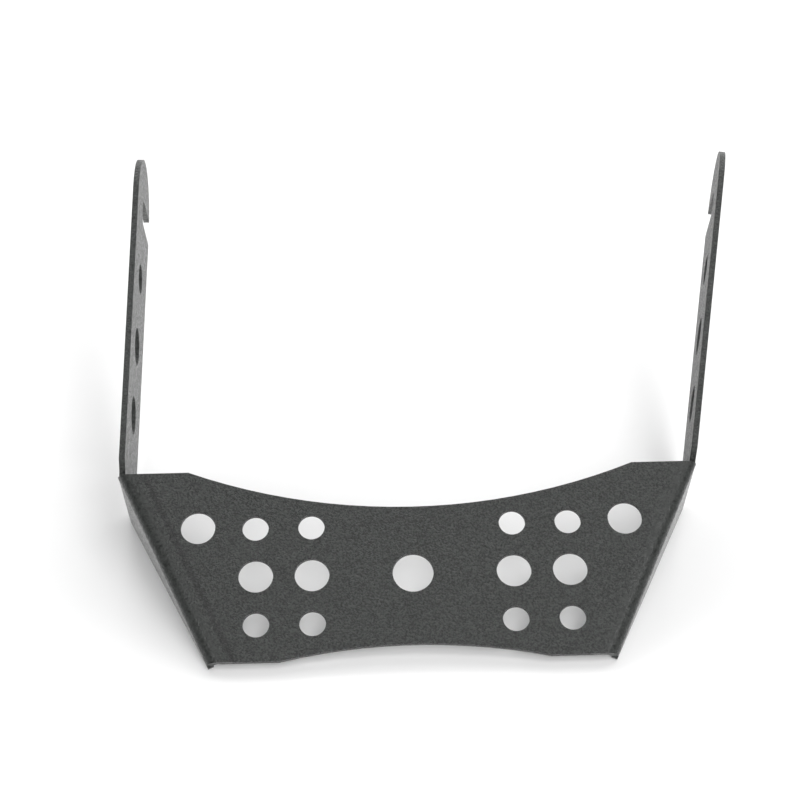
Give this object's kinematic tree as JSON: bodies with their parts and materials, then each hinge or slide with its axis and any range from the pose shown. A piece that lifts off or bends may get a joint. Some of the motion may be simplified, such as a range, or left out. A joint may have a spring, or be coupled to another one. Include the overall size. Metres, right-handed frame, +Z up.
{
  "type": "light bar bracket",
  "caption": "Folded sheet-metal bracket: a waisted drilled plate, two angled side flanges and two tall arms with an open hook slot near each tip.",
  "frame": {"origin": "centre of the plate's middle hole, at the plate's front face", "axes": "+X along the plate to the viewer's right, +Y level and away from the viewer, +Z up, with the bracket lying on the slanted back edges of its two flanges"},
  "size_m": [0.1589, 0.1339, 0.0683],
  "materials": {
    "powder_coat": "fine textured charcoal powder coat, satin"
  },
  "bodies": {
    "root": {"bracket": "powder_coat"}
  },
  "joints": []
}
